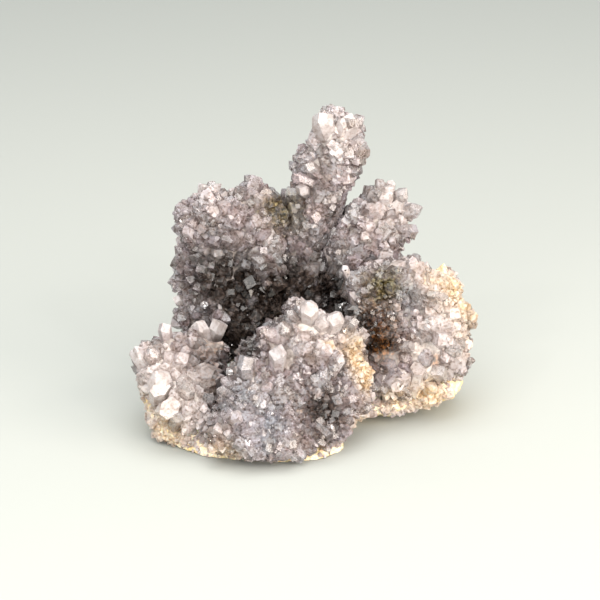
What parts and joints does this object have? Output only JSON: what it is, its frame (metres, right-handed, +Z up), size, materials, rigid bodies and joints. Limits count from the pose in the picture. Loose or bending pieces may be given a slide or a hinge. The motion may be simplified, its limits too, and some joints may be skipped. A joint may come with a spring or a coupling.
{
  "type": "stalactite amethyst specimen",
  "caption": "Hand specimen of stalactitic amethyst: upright quartz-coated stalactites and rounded mounds around a dark hollow, on a thin iron-stained chalcedony rind with a flat foot.",
  "frame": {"origin": "centre of the bounding box, at the flat foot that the specimen rests on", "axes": "+X along the specimen's longest side, +Z up, and the side seen in the picture faces -Y"},
  "size_m": [0.0602, 0.0482, 0.052],
  "materials": {
    "quartz_druse": "clear to milky grey-lilac quartz points over a stained bed, glossy faces",
    "chalcedony_rind": "dull cream to orange-yellow chalcedony with iron stain"
  },
  "bodies": {
    "root": {"chalcedony_rind": "chalcedony_rind", "tall_stalactite": "quartz_druse", "left_stalactite": "quartz_druse", "middle_stalactite": "quartz_druse", "right_mound": "quartz_druse", "front_ridge": "quartz_druse", "left_rim": "quartz_druse", "hollow_crust": "quartz_druse"}
  },
  "joints": []
}
